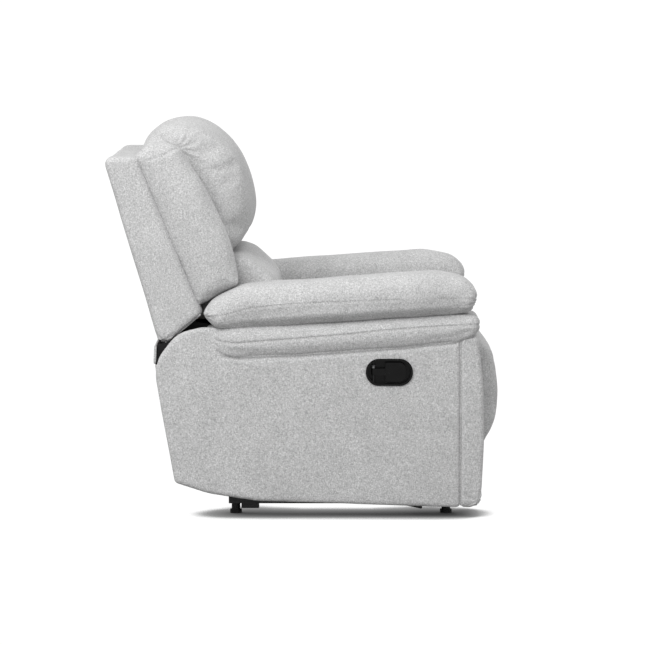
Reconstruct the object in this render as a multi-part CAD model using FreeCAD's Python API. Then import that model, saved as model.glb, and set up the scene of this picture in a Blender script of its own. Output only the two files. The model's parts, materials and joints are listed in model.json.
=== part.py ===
"""Manual recliner armchair with a pull handle, padded arms and a folding footrest.

The chair stands on the plane Z = 0 and faces -Y. X is across the chair: its left arm is at +X and the
arm with the handle is at -X. Side views are drawn as (forward, up) pairs in millimetres, where forward
is the distance towards the front of the chair. Each node is written to parts/NODE.step.
"""
import FreeCAD, Part
import math
import os
from FreeCAD import Vector

# ---- Driving dimensions, in millimetres --------------------------------------------------------
HALF_WIDTH = 470.0            # half the width over the upper arm pads
PANEL_OUT = 450.0             # outer face of an arm's side panel
PANEL_IN = 412.0              # inner face of a side panel, outer face of the arm frame
LOWER_PAD_OUT = 462.0         # outer face of a lower arm pad
ARM_IN = 286.0                # inner face of an arm
FRAME_IN = 302.0              # inner face of the wooden arm frame
CUSHION_HALF = 283.0          # half the width of the seat cushion and the back pillows
BACK_HALF = 395.0             # half the width of the back
SIDE_IN = 285.0               # inner face of a back side
BOLSTER_IN = 287.0            # inner face of a bolster

FLOOR_GAP = 26.0              # height of a foot, from the floor to the base rail
RAIL_X = 360.0                # middle of a base rail
RAIL_WIDTH = 40.0
RAIL_HEIGHT = 20.0
CROSS_TUBE = 25.0             # side of the square cross tubes
TUBE_WALL = 2.0
REAR_FOOT = -172.0            # forward positions of the feet
FRONT_FOOT = 363.0

LINK_STEEL = 4.0              # thickness of the mechanism's plates and links
LAYER_GAP = 1.5               # gap between neighbouring layers of links
PLATE_X = 256.0               # inner face of a mechanism plate
RIVET_R = 5.0
RUNNING = 0.05                # radial clearance of a rivet in the link that turns on it
OPEN_PIVOT = 1.3              # radial clearance of the loop-closing rivet in the rear link
HEAD_R = 7.2
HEAD_T = 1.2

# Pivots of the footrest linkage with the footrest folded, as (forward, up)
FRONT_PIVOT = (338.0, 240.0)      # front link on the mechanism plate
REAR_PIVOT = (298.2, 308.2)       # rear link on the mechanism plate
MIDDLE_PIVOT = (319.0, 111.0)     # upper link on the front link
LOWER_PIVOT = (297.0, 167.0)      # lower link on the front link
TAIL_PIVOT = (288.7, 143.7)       # rear link on the upper link's tail
BRACKET_PIVOT = (392.0, 323.0)    # footrest bracket on the upper link
BRACKET_TOP_PIVOT = (370.0, 379.0)  # footrest bracket on the lower link
BACK_PIVOT = (-205.0, 445.0)      # back on the mechanism plate

GLIDE_Z = 305.0               # middle height of the seat glide tracks
TRACK_HEIGHT = 30.0
TRACK_STEEL = 3.0
GLIDE_GAP = 0.3

HANDLE = (216.5, 369.0)       # middle of the handle cup on the right side panel
HANDLE_PIN_FORWARD = HANDLE[0] - 40.0
HANDLE_PIN_X = -441.0
HANDLE_PIN_R = 2.0

ORIGIN_FORWARD = 0.0          # where the origin lies along the side view's forward axis

nodes = {}


# ---- Drawing helpers ---------------------------------------------------------------------------
def point(forward, up, x=0.0):
    return Vector(x, -(forward - ORIGIN_FORWARD), up)


def rounded_outline(corners):
    """A closed wire through (forward, up, radius) corners, each rounded by a tangent arc."""
    count = len(corners)
    cuts = []
    for i, (forward, up, radius) in enumerate(corners):
        here = point(forward, up)
        back = point(*corners[i - 1][:2]) - here
        ahead = point(*corners[(i + 1) % count][:2]) - here
        half_turn = (math.pi - back.getAngle(ahead)) / 2
        room = 0.49 * min(back.Length, ahead.Length)
        setback = min(radius * math.tan(half_turn), room)
        radius = setback / math.tan(half_turn) if half_turn > 1e-6 else 0.0
        start = here + back.normalize() * setback
        end = here + ahead.normalize() * setback
        inward = ((start + end) * 0.5 - here)
        middle = here
        if inward.Length > 1e-6:
            reach = radius / math.cos(half_turn) - radius
            middle = here + inward.normalize() * reach
        cuts.append((start, middle, end))
    edges = []
    for i, (start, middle, end) in enumerate(cuts):
        previous = cuts[i - 1][2]
        if (start - previous).Length > 1e-4:
            edges.append(Part.LineSegment(previous, start).toShape())
        if (end - start).Length > 1e-4:
            edges.append(Part.Arc(start, middle, end).toShape())
    return Part.Wire(edges)


def sheet(corners, x_low, x_high):
    """A solid of the rounded side-view outline, from x_low to x_high across the chair."""
    face = Part.Face(rounded_outline(corners))
    face.translate(Vector(x_low, 0, 0))
    return face.extrude(Vector(x_high - x_low, 0, 0))


def board(x_low, x_high, forward_low, forward_high, up_low, up_high):
    corner = point(forward_high, up_low, x_low)
    return Part.makeBox(x_high - x_low, forward_high - forward_low, up_high - up_low, corner)


def rod(pivot, radius, x_low, x_high):
    """A round bar across the chair at a (forward, up) place."""
    return Part.makeCylinder(radius, x_high - x_low, point(*pivot, x_low), Vector(1, 0, 0))


def mirrored(shape):
    return shape.mirror(Vector(0, 0, 0), Vector(1, 0, 0))


def node(name, *solids):
    nodes[name] = Part.makeCompound([s for shape in solids for s in shape.Solids])


def both_sides(name, *solids):
    """Writes the left part as given, and its mirror image as the right part."""
    node(name + "_left", *solids)
    node(name + "_right", *[mirrored(s) for s in solids])


def one_node_both_sides(name, *solids):
    node(name, *solids, *[mirrored(s) for s in solids])


def layer(number):
    """(low x, high x) of a layer of links. Layer 0 is the mechanism plate, and 1 to 4 lie inside it."""
    low = PLATE_X - number * (LINK_STEEL + LAYER_GAP)
    return low, low + LINK_STEEL


def strap(pivots, half_width, x_range, holes):
    """A bar of round-ended straps that joins its pivots in order, with (pivot, radius) holes."""
    low, high = x_range
    shape = rod(pivots[0], half_width, low, high)
    for first, second in zip(pivots, pivots[1:]):
        along = Vector(second[0] - first[0], second[1] - first[1], 0).normalize()
        side = (-along.y * half_width, along.x * half_width)
        corners = [
            (first[0] + side[0], first[1] + side[1], 0),
            (second[0] + side[0], second[1] + side[1], 0),
            (second[0] - side[0], second[1] - side[1], 0),
            (first[0] - side[0], first[1] - side[1], 0),
        ]
        shape = shape.fuse(sheet(corners, low, high)).fuse(rod(second, half_width, low, high))
    shape = shape.removeSplitter()
    for pivot, radius in holes:
        shape = shape.cut(rod(pivot, radius, low - 1, high + 1))
    return shape


def rivet(pivot, from_layer, to_layer):
    """A flush rivet from the outer face of one layer to the inner face of another, with a thin head
    at each end that lies in the gap beside the layer."""
    outer = layer(from_layer)[1]
    inner = layer(to_layer)[0]
    shape = rod(pivot, RIVET_R, inner - HEAD_T, outer + HEAD_T)
    shape = shape.fuse(rod(pivot, HEAD_R, inner - HEAD_T, inner))
    return shape.fuse(rod(pivot, HEAD_R, outer, outer + HEAD_T)).removeSplitter()


# ---- Base --------------------------------------------------------------------------------------
def foot(x, forward):
    glide = Part.makeCylinder(15, 9, point(forward, 0, x))
    stem = Part.makeCylinder(11, FLOOR_GAP - 9, point(forward, 9, x))
    return glide.fuse(stem).removeSplitter()


def square_tube(x_low, x_high, forward_low, forward_high, up_low, up_high, along_x):
    outer = board(x_low, x_high, forward_low, forward_high, up_low, up_high)
    wall_x = -1 if along_x else TUBE_WALL
    wall_forward = TUBE_WALL if along_x else -1
    inner = board(x_low + wall_x, x_high - wall_x, forward_low + wall_forward,
                  forward_high - wall_forward, up_low + TUBE_WALL, up_high - TUBE_WALL)
    return outer.cut(inner)


def make_base():
    one_node_both_sides("feet", foot(RAIL_X, FRONT_FOOT), foot(RAIL_X, REAR_FOOT))
    rail_low = RAIL_X - RAIL_WIDTH / 2
    rail_high = RAIL_X + RAIL_WIDTH / 2
    rear_bracket = board(rail_low + 5, rail_high - 5, -158, -113, 13, FLOOR_GAP)
    front_wedge = sheet([(302, 11, 3), (302, FLOOR_GAP, 0), (246, FLOOR_GAP, 0), (246, 23, 0)],
                        rail_low + 5, rail_high - 5)
    one_node_both_sides("foot_brackets", rear_bracket, front_wedge)
    rail_top = FLOOR_GAP + RAIL_HEIGHT
    both_sides("base_rail", square_tube(rail_low, rail_high, -190, 385, FLOOR_GAP, rail_top, False))
    for place, forward in (("front", 290), ("rear", -150)):
        node("cross_tube_" + place,
             square_tube(-BACK_HALF, BACK_HALF, forward, forward + CROSS_TUBE, rail_top,
                         rail_top + CROSS_TUBE, True))
    rear_panel = sheet([(-373.5, 385, 3), (-365.5, 385, 3), (-351, 274, 200), (-318, 88, 3),
                        (-326, 88, 3), (-359, 274, 200)], -PANEL_IN + 1, PANEL_IN - 1)
    node("rear_base_panel", rear_panel)


# ---- Arms --------------------------------------------------------------------------------------
BOARD = 20.0                  # thickness of the arm frame's boards
ARM_FLOOR = 71.0              # underside of the arm frame
GLIDE_BOARD_IN = 284.0        # inner face of the board that carries a glide track


def arm_top(forward):
    """Underside of the sloping top board of an arm frame."""
    return 382 + 0.064 * (forward + 238)


def arm_frame():
    low, high = FRAME_IN, PANEL_IN
    floor = ARM_FLOOR + BOARD
    boards = [board(low, high, -250, 392, ARM_FLOOR, floor),
              sheet([(-238, arm_top(-238), 0), (392, arm_top(392), 0), (392, 443, 0), (244, 427, 0),
                     (-6, 410, 0), (-178, 402, 0), (-238, 402, 0)], low, high)]
    for forward in (-238, 40, 372):
        front = forward + BOARD
        boards.append(sheet([(forward, floor, 0), (front, floor, 0), (front, arm_top(front), 0),
                             (forward, arm_top(forward), 0)], low, high))
    boards.append(board(GLIDE_BOARD_IN, FRAME_IN, -150, 262, GLIDE_Z - 19, GLIDE_Z + 19))
    return boards


def side_panel():
    corners = [(-324, 88, 6), (-240, 61, 200), (-110, 41, 300), (60, 35, 300), (395.5, 25, 3),
               (395.5, 446, 3), (384, 444.5, 5), (244, 427.5, 400), (-6, 410.5, 400),
               (-177, 402, 24), (-229, 427, 24), (-254, 462, 10), (-256, 474, 6), (-318, 463, 80),
               (-366, 402, 80), (-372, 358, 80), (-358, 274, 300)]
    return sheet(corners, PANEL_IN, PANEL_OUT)


def arm_front():
    corners = [(396.5, 25, 2), (449, 25, 34), (456, 190, 300), (454, 330, 300), (438, 455, 10),
               (396.5, 446, 2)]
    return sheet(corners, ARM_IN, PANEL_OUT)


def inner_panel():
    corners = [(-236, 330, 5), (395.5, 330, 3), (395.5, 445, 3), (244, 427, 400), (-6, 410, 400),
               (-178, 402, 10), (-236, 402, 5)]
    return sheet(corners, ARM_IN, FRAME_IN)


def lower_arm_pad():
    corners = [(-252, 463, 8), (-230, 431, 24), (-178, 404, 30), (-6, 412, 400), (244, 429, 400),
               (384, 446, 120), (434, 457, 22), (447, 488, 16), (440, 513, 6), (246, 503, 300),
               (-8, 486, 300), (-226, 469, 20)]
    return sheet(corners, ARM_IN, LOWER_PAD_OUT)


def upper_arm_pad():
    corners = [(-246, 500, 14), (-224, 539, 50), (-152, 573, 90), (60, 593, 500), (330, 617, 150),
               (410, 608, 60), (449, 568, 34), (428, 517, 14), (246, 505, 300), (-8, 488, 300),
               (-226, 471, 18)]
    return sheet(corners, ARM_IN, HALF_WIDTH)


def oblong(length, height, x_low, x_high):
    """A solid with round ends, its outline centred on the handle."""
    radius = height / 2
    reach = length / 2
    corners = [(HANDLE[0] + sign_f * reach, HANDLE[1] + sign_u * radius, radius * 0.9999)
               for sign_f, sign_u in ((-1, -1), (1, -1), (1, 1), (-1, 1))]
    return sheet(corners, x_low, x_high)


def make_arms():
    both_sides("arm_frame", *arm_frame())
    panel = side_panel()
    node("side_panel_left", panel)
    node("side_panel_right", mirrored(panel).cut(oblong(114, 64, -PANEL_OUT - 1, -PANEL_IN + 1)))
    both_sides("arm_front", arm_front())
    both_sides("inner_arm_panel", inner_panel())
    both_sides("lower_arm_pad", lower_arm_pad())
    both_sides("upper_arm_pad", upper_arm_pad())


# ---- Handle and release cable --------------------------------------------------------------------
CUP_FACE = -453.5             # outer face of the cup's rim
CUP_BACK = -424.0
CABLE_R = 3.0
CABLE_BEND = 28.0


def upright_pin(radius, up_low, up_high):
    place = point(HANDLE_PIN_FORWARD, up_low, HANDLE_PIN_X)
    return Part.makeCylinder(radius, up_high - up_low, place)


def handle_cup():
    rim = oblong(118.5, 68.5, CUP_FACE, -PANEL_OUT)
    body = oblong(113, 63, -PANEL_OUT, CUP_BACK)
    cavity = oblong(108, 58, CUP_FACE - 1, CUP_BACK - 3)
    ferrule = Part.makeCylinder(5, 20, point(HANDLE[0] + 20, HANDLE[1], CUP_BACK), Vector(1, 0, 0))
    cup = rim.fuse(body).cut(cavity).fuse(ferrule).removeSplitter()
    return cup.cut(upright_pin(HANDLE_PIN_R, HANDLE[1] - 26, HANDLE[1] + 26))


def handle_lever():
    barrel = upright_pin(5, HANDLE[1] - 8, HANDLE[1] + 8)
    stem = sheet([(HANDLE_PIN_FORWARD, HANDLE[1] - 8, 0), (HANDLE[0] - 4, HANDLE[1] - 9, 0),
                  (HANDLE[0] - 4, HANDLE[1] + 9, 0), (HANDLE_PIN_FORWARD, HANDLE[1] + 8, 0)],
                 -446, -441)
    paddle = sheet([(HANDLE[0] - 10, HANDLE[1] - 24, 5), (HANDLE[0] + 42, HANDLE[1] - 24, 18),
                    (HANDLE[0] + 42, HANDLE[1] + 24, 18), (HANDLE[0] - 10, HANDLE[1] + 24, 5)],
                   -448, -442)
    lever = barrel.fuse(stem).fuse(paddle).removeSplitter()
    return lever.cut(upright_pin(HANDLE_PIN_R + RUNNING, HANDLE[1] - 30, HANDLE[1] + 30))


def handle_spring():
    turns_height = 7.5
    helix = Part.makeHelix(2.5, turns_height, 4.0)
    helix.translate(point(HANDLE_PIN_FORWARD, HANDLE[1] + 9.2, HANDLE_PIN_X))
    start = helix.Edges[0].Vertexes[0].Point
    ring = Part.Wire(Part.Circle(start, Vector(0, 1, 0), 0.7).toShape())
    coil = Part.Wire(helix.Edges).makePipeShell([ring], True, True)
    return coil


def bent_tube(route, radius, bend):
    """A round solid along straight runs joined by tangent arcs."""
    edges = []
    previous = route[0]
    for here, ahead in zip(route[1:-1], route[2:]):
        back = (previous - here)
        onward = (ahead - here)
        half_turn = (math.pi - back.getAngle(onward)) / 2
        setback = bend * math.tan(half_turn)
        start = here + Vector(back).normalize() * setback
        end = here + Vector(onward).normalize() * setback
        inward = ((start + end) * 0.5 - here).normalize()
        middle = here + inward * (bend / math.cos(half_turn) - bend)
        edges.append(Part.LineSegment(previous, start).toShape())
        edges.append(Part.Arc(start, middle, end).toShape())
        previous = end
    edges.append(Part.LineSegment(previous, route[-1]).toShape())
    path = Part.Wire(edges)
    ring = Part.Wire(Part.Circle(route[0], route[1] - route[0], radius).toShape())
    return path.makePipeShell([ring], True, False)


CABLE_FORWARD = HANDLE[0] + 20
CABLE_LOW = 262.0
CABLE_ROUTE = [point(CABLE_FORWARD, HANDLE[1], CUP_BACK + 20), point(CABLE_FORWARD, HANDLE[1], -350),
               point(CABLE_FORWARD, CABLE_LOW, -350), point(CABLE_FORWARD, CABLE_LOW, -GLIDE_BOARD_IN)]

LATCH_PIVOT = (222.0, 298.0)
LATCH_PIN_R = 4.0
LATCH_ARMS = [(262.0, 296.0), LATCH_PIVOT, (CABLE_FORWARD, CABLE_LOW)]


def latch_bracket():
    """A plate on the glide board of the right arm, with the latch's pin fixed in it."""
    plate = board(-GLIDE_BOARD_IN, -GLIDE_BOARD_IN + 3, 206, 258, 246, GLIDE_Z + 17)
    pin = rod(LATCH_PIVOT, LATCH_PIN_R, -GLIDE_BOARD_IN + 3, -273)
    head = rod(LATCH_PIVOT, LATCH_PIN_R + 2.5, -274.5, -273)
    return plate.fuse(pin).fuse(head).removeSplitter()


def release_latch():
    return strap(LATCH_ARMS, 7, (-279.5, -275.5), [(LATCH_PIVOT, LATCH_PIN_R + RUNNING)])


def make_handle():
    node("handle_cup", handle_cup())
    node("handle_lever", handle_lever())
    node("handle_pin", upright_pin(HANDLE_PIN_R, HANDLE[1] - 25.5, HANDLE[1] + 25.5))
    node("handle_spring", handle_spring())
    node("release_cable", bent_tube(CABLE_ROUTE, CABLE_R, CABLE_BEND))
    node("latch_bracket", latch_bracket())
    node("release_latch", release_latch())


# ---- Seat and its mechanism ------------------------------------------------------------------------
SEAT_RAIL_IN = 205.0
SEAT_RAIL_OUT = 230.0
SEAT_RAIL_LOW = 340.0
SEAT_RAIL_HIGH = 395.0
SEAT_REAR = -150.0
SEAT_FRONT = 390.0
RAIL = 25.0                   # thickness of the seat box's boards
SPRING_WIRE = 1.9             # radius of the sinuous springs' wire
SPRING_SEAT = 2.0             # height of the wire's centre line above the board it lies on


def mechanism_plate():
    corners = [(-222, 462, 16), (-188, 462, 16), (-181, 393, 20), (366, 393, 12), (366, 300, 60),
               (354, 224, 15), (322, 224, 15), (276, 282, 30), (-195, 282, 40), (-222, 330, 30)]
    plate = sheet(corners, *layer(0))
    for pivot in (FRONT_PIVOT, REAR_PIVOT, BACK_PIVOT):
        plate = plate.cut(rod(pivot, RIVET_R, PLATE_X - 1, PLATE_X + LINK_STEEL + 1))
    return plate


def glide_track():
    low, high = GLIDE_Z - TRACK_HEIGHT / 2, GLIDE_Z + TRACK_HEIGHT / 2
    outer = board(266, GLIDE_BOARD_IN, -150, 200, low, high)
    channel = board(265, GLIDE_BOARD_IN - TRACK_STEEL, -151, 201, low + TRACK_STEEL,
                    high - TRACK_STEEL)
    return outer.cut(channel)


def glide_blocks():
    half = TRACK_HEIGHT / 2 - TRACK_STEEL - GLIDE_GAP
    return [board(PLATE_X + LINK_STEEL, GLIDE_BOARD_IN - TRACK_STEEL - GLIDE_GAP, forward,
                  forward + 42, GLIDE_Z - half, GLIDE_Z + half) for forward in (-120, 100)]


def seat_box():
    low, high = SEAT_RAIL_LOW, SEAT_RAIL_HIGH
    boards = [board(-SEAT_RAIL_OUT, -SEAT_RAIL_IN, SEAT_REAR, SEAT_FRONT, low, high),
              board(SEAT_RAIL_IN, SEAT_RAIL_OUT, SEAT_REAR, SEAT_FRONT, low, high),
              board(-SEAT_RAIL_IN, SEAT_RAIL_IN, SEAT_FRONT - RAIL, SEAT_FRONT, low, high),
              board(-SEAT_RAIL_IN, SEAT_RAIL_IN, SEAT_REAR, SEAT_REAR + RAIL, low, high)]
    for forward in (-140, 110):
        block = board(SEAT_RAIL_OUT, PLATE_X, forward, forward + 80, 340, 391)
        boards += [block, mirrored(block)]
    return boards


def sinuous_spring(first, last, half_width, bars):
    """A zigzag of round wire: straight bars across the chair from the first bar's middle to the
    last bar's middle, joined by half-round bends."""
    along = (last - first) * (1.0 / (bars - 1))
    turn = along.Length / 2
    across = Vector(half_width - turn, 0, 0)
    bulge = Vector(turn, 0, 0)
    edges = []
    for i in range(bars):
        side = 1 if i % 2 == 0 else -1
        middle = first + along * i
        end = middle + across * side
        edges.append(Part.LineSegment(middle - across * side, end).toShape())
        if i < bars - 1:
            edges.append(Part.Arc(end, end + along * 0.5 + bulge * side, end + along).toShape())
    ring = Part.Wire(Part.Circle(first - across, across, SPRING_WIRE).toShape())
    return Part.Wire(edges).makePipeShell([ring], True, False)


def seat_springs():
    up = SEAT_RAIL_HIGH + SPRING_SEAT
    return [sinuous_spring(point(SEAT_REAR + 10, up, x), point(SEAT_FRONT - 10, up, x), 26, 23)
            for x in (-160, -80, 0, 80, 160)]


def seat_cushion():
    corners = [(-166, 400, 12), (397, 400, 6), (397, 437, 6), (446, 437, 14), (460, 462, 24),
               (446, 491, 26), (300, 493, 300), (-120, 480, 200), (-166, 478, 24)]
    return sheet(corners, -CUSHION_HALF, CUSHION_HALF)


def make_seat():
    both_sides("mechanism_plate", mechanism_plate())
    both_sides("glide_track", glide_track())
    one_node_both_sides("glide_blocks", *glide_blocks())
    node("seat_box", *seat_box())
    node("seat_cushion", seat_cushion())
    node("seat_springs", *seat_springs())
    one_node_both_sides("mechanism_rivets", rivet(FRONT_PIVOT, 0, 1), rivet(REAR_PIVOT, 0, 4),
                        rivet(BACK_PIVOT, 0, 1))


# ---- Footrest and its linkage ------------------------------------------------------------------------
STRAP_HALF = 8.5              # half the width of the link straps
BOARD_BACK = 403.0            # back face of the footrest board, folded
BOARD_FRONT = 415.0
BRACKET_SPAN = 262.0


def footrest_bracket():
    """A steel angle: a web in the front links' layer and a flange on the footrest board."""
    web = sheet([(362, 366, 8), (BOARD_BACK, 300, 4), (BOARD_BACK, 400, 4), (362, 395, 10)], *layer(1))
    web = web.fuse(strap([BRACKET_PIVOT, BRACKET_TOP_PIVOT], 10.5, layer(1), []))
    for pivot in (BRACKET_PIVOT, BRACKET_TOP_PIVOT):
        web = web.cut(rod(pivot, RIVET_R, 0, PANEL_IN))
    flange = board(layer(1)[0], BRACKET_SPAN, BOARD_BACK - 2, BOARD_BACK, 300, 400)
    return web.fuse(flange).removeSplitter()


def make_footrest():
    hole = RIVET_R + RUNNING
    one_node_both_sides("front_links", strap(
        [FRONT_PIVOT, LOWER_PIVOT, MIDDLE_PIVOT], 11, layer(1),
        [(FRONT_PIVOT, hole), (LOWER_PIVOT, RIVET_R), (MIDDLE_PIVOT, RIVET_R)]))
    one_node_both_sides("upper_links", strap(
        [TAIL_PIVOT, MIDDLE_PIVOT, BRACKET_PIVOT], STRAP_HALF, layer(3),
        [(TAIL_PIVOT, RIVET_R), (MIDDLE_PIVOT, hole), (BRACKET_PIVOT, hole)]))
    one_node_both_sides("lower_links", strap(
        [LOWER_PIVOT, BRACKET_TOP_PIVOT], 7.6, layer(2),
        [(LOWER_PIVOT, hole), (BRACKET_TOP_PIVOT, hole)]))
    one_node_both_sides("rear_links", strap(
        [REAR_PIVOT, TAIL_PIVOT], 11, layer(4),
        [(REAR_PIVOT, hole), (TAIL_PIVOT, RIVET_R + OPEN_PIVOT)]))
    one_node_both_sides("front_link_rivets", rivet(LOWER_PIVOT, 1, 2), rivet(MIDDLE_PIVOT, 1, 3))
    one_node_both_sides("upper_link_rivets", rivet(TAIL_PIVOT, 3, 4))
    one_node_both_sides("bracket_rivets", rivet(BRACKET_PIVOT, 1, 3), rivet(BRACKET_TOP_PIVOT, 1, 2))
    reach = layer(4)[0]
    tube = rod(REAR_PIVOT, 11, -reach, reach).cut(rod(REAR_PIVOT, 9, -reach - 1, reach + 1))
    node("torque_tube", tube)
    both_sides("footrest_bracket", footrest_bracket())
    node("footrest_board", board(-BRACKET_SPAN, BRACKET_SPAN, BOARD_BACK, BOARD_FRONT, 165, 422))
    node("footrest_pad", sheet([(BOARD_FRONT, 152, 8), (462, 150, 30), (493, 210, 90), (499, 302, 160),
                                (488, 395, 60), (468, 430, 16), (BOARD_FRONT, 430, 8)], -280, 280))


# ---- Back ----------------------------------------------------------------------------------------------
BACK_REAR_LOW = (-369.0, 441.0)
BACK_REAR_HIGH = (-501.5, 907.0)
BACK_FRONT_LOW = (-250.0, 510.0)
BACK_FRONT_HIGH = (-413.0, 907.0)

# Side view of a back frame post
POST_LOW_REAR = (-338.0, 452.0)
POST_LOW_FRONT = (-298.0, 480.0)
POST_HIGH_REAR = (-470.0, 888.0)
POST_HIGH_FRONT = (-432.0, 888.0)
POST_IN = PLATE_X - LAYER_GAP
LOW_RAIL = 0.13               # part of a post's height that the low rail takes
HIGH_RAIL = 0.87              # part of a post's height where the high rail starts
PILLOW_GAP = 4.2              # room for the back springs between the frame and the pillows


def along_post(share, front):
    low, high = (POST_LOW_FRONT, POST_HIGH_FRONT) if front else (POST_LOW_REAR, POST_HIGH_REAR)
    return (low[0] + share * (high[0] - low[0]), low[1] + share * (high[1] - low[1]))


def on_line(low, high, up, offset=0.0):
    """Forward position of the line through two (forward, up) points at a height."""
    return low[0] + (high[0] - low[0]) * (up - low[1]) / (high[1] - low[1]) + offset


def pillow_rear(up):
    return on_line(POST_LOW_FRONT, POST_HIGH_FRONT, up, PILLOW_GAP)


def back_side():
    corners = [(*BACK_REAR_LOW, 12), (-338, 441, 15), (*BACK_FRONT_LOW, 10), (*BACK_FRONT_HIGH, 15),
               (*BACK_REAR_HIGH, 32)]
    return sheet(corners, SIDE_IN, BACK_HALF)


def back_outer_panel():
    low, high = BACK_REAR_LOW[1], BACK_REAR_HIGH[1]
    corners = [(*BACK_REAR_LOW, 10), (on_line(POST_LOW_REAR, POST_HIGH_REAR, low, -0.3), low, 2),
               (on_line(POST_LOW_REAR, POST_HIGH_REAR, high, -0.3), high, 2), (*BACK_REAR_HIGH, 20)]
    return sheet(corners, -SIDE_IN + 0.5, SIDE_IN - 0.5)


def bolster():
    top = (on_line(BACK_FRONT_LOW, BACK_FRONT_HIGH, 905, 0.6), 905)
    bottom = (on_line(BACK_FRONT_LOW, BACK_FRONT_HIGH, 523, 0.6), 523)
    corners = [(*bottom, 6), (-229, 541, 18), (-167, 584, 14), (-188, 673, 60), (-219, 754, 200),
               (-272, 846, 200), (-308, 906, 60), (-330, 938, 30), (-398, 940, 28), (*top, 4)]
    return sheet(corners, BOLSTER_IN, BACK_HALF)


def head_pillow():
    corners = [(pillow_rear(676), 676, 12), (-180, 651, 28), (-118, 692, 70), (-122, 800, 150),
               (-165, 948, 120), (-262, 1004, 110), (-372, 1003, 60), (-415, 922, 30),
               (pillow_rear(896), 896, 8)]
    return sheet(corners, -CUSHION_HALF, CUSHION_HALF)


def lumbar_pillow():
    corners = [(-196, 487, 12), (-58, 487, 20), (-46, 560, 80), (-80, 640, 60), (-130, 674, 22),
               (-162, 648, 12), (-185, 637, 12), (pillow_rear(662), 662, 12),
               (pillow_rear(490), 490, 4)]
    return sheet(corners, -CUSHION_HALF, CUSHION_HALF)


def back_bolt(share):
    """A bolt through a back bracket into a post, as (whole bolt, shaft)."""
    rear, front = along_post(share, False), along_post(share, True)
    place = ((rear[0] + front[0]) / 2, (rear[1] + front[1]) / 2)
    low = layer(1)[0]
    shaft = rod(place, 4, low - 1, POST_IN + 20)
    return rod(place, 7.5, low - 4, low).fuse(rod(place, 4, low, POST_IN + 20)), shaft


def make_back():
    bolts = [back_bolt(share) for share in (0.22, 0.58)]
    high = 780
    bracket = sheet([(-222, 434, 14), (-205, 427, 12), (-188, 445, 14), (-200, 465, 12),
                     (pillow_rear(482) - 1, 482, 10), (pillow_rear(high) - 1, high, 8),
                     (on_line(POST_LOW_REAR, POST_HIGH_REAR, high), high, 8),
                     (on_line(POST_LOW_REAR, POST_HIGH_REAR, 500), 500, 30), (-318, 452, 15)],
                    *layer(1))
    bracket = bracket.cut(rod(BACK_PIVOT, RIVET_R + RUNNING, 0, PANEL_IN))
    post = sheet([(*POST_LOW_REAR, 0), (*POST_LOW_FRONT, 0), (*POST_HIGH_FRONT, 0),
                  (*POST_HIGH_REAR, 0)], POST_IN, SIDE_IN)
    for whole, shaft in bolts:
        bracket = bracket.cut(shaft)
        post = post.cut(shaft)
    rails = []
    for low, high, reach in ((0.0, LOW_RAIL, layer(1)[0]), (HIGH_RAIL, 1.0, POST_IN)):
        corners = [(*along_post(low, False), 0), (*along_post(low, True), 0),
                   (*along_post(high, True), 0), (*along_post(high, False), 0)]
        rails.append(sheet(corners, -reach, reach))
    both_sides("back_side", back_side())
    node("back_outer_panel", back_outer_panel())
    both_sides("bolster", bolster())
    node("head_pillow", head_pillow())
    node("lumbar_pillow", lumbar_pillow())
    both_sides("back_bracket", bracket)
    node("back_frame", post, mirrored(post), *rails)
    one_node_both_sides("back_bolts", *[whole for whole, shaft in bolts])
    first, last = along_post(0.05, True), along_post(0.95, True)
    node("back_springs", *[sinuous_spring(point(first[0] + SPRING_SEAT, first[1], x),
                                          point(last[0] + SPRING_SEAT, last[1], x), 30, 17)
                           for x in (-165, -55, 55, 165)])
    node("lower_back_cover", sheet([(*POST_LOW_FRONT, 0), (-333, 455.3, 0), (-333, 440, 0),
                                    (-350, 438, 3), (-352, 392, 15), (-318, 352, 15), (-250, 352, 15),
                                    (-226, 420, 12), (-234, 470, 12), (-262, 480, 10)], -246, 246))


def main():
    make_base()
    make_arms()
    make_handle()
    make_seat()
    make_footrest()
    make_back()
    os.makedirs("parts", exist_ok=True)
    for old in os.listdir("parts"):
        os.remove(os.path.join("parts", old))
    for name, shape in nodes.items():
        shape.exportStep(os.path.join("parts", name + ".step"))
    box = Part.makeCompound(list(nodes.values())).BoundBox
    print(len(nodes), "nodes; box", [round(v, 1) for v in (box.XMin, box.XMax, box.YMin, box.YMax,
                                                           box.ZMin, box.ZMax)])
    for name, shape in nodes.items():
        if not shape.isValid():
            print("not valid:", name)


main()
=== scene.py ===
import json
import math

import bmesh
import bpy
import numpy as np
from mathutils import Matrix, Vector, noise
from mathutils.bvhtree import BVHTree


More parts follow.
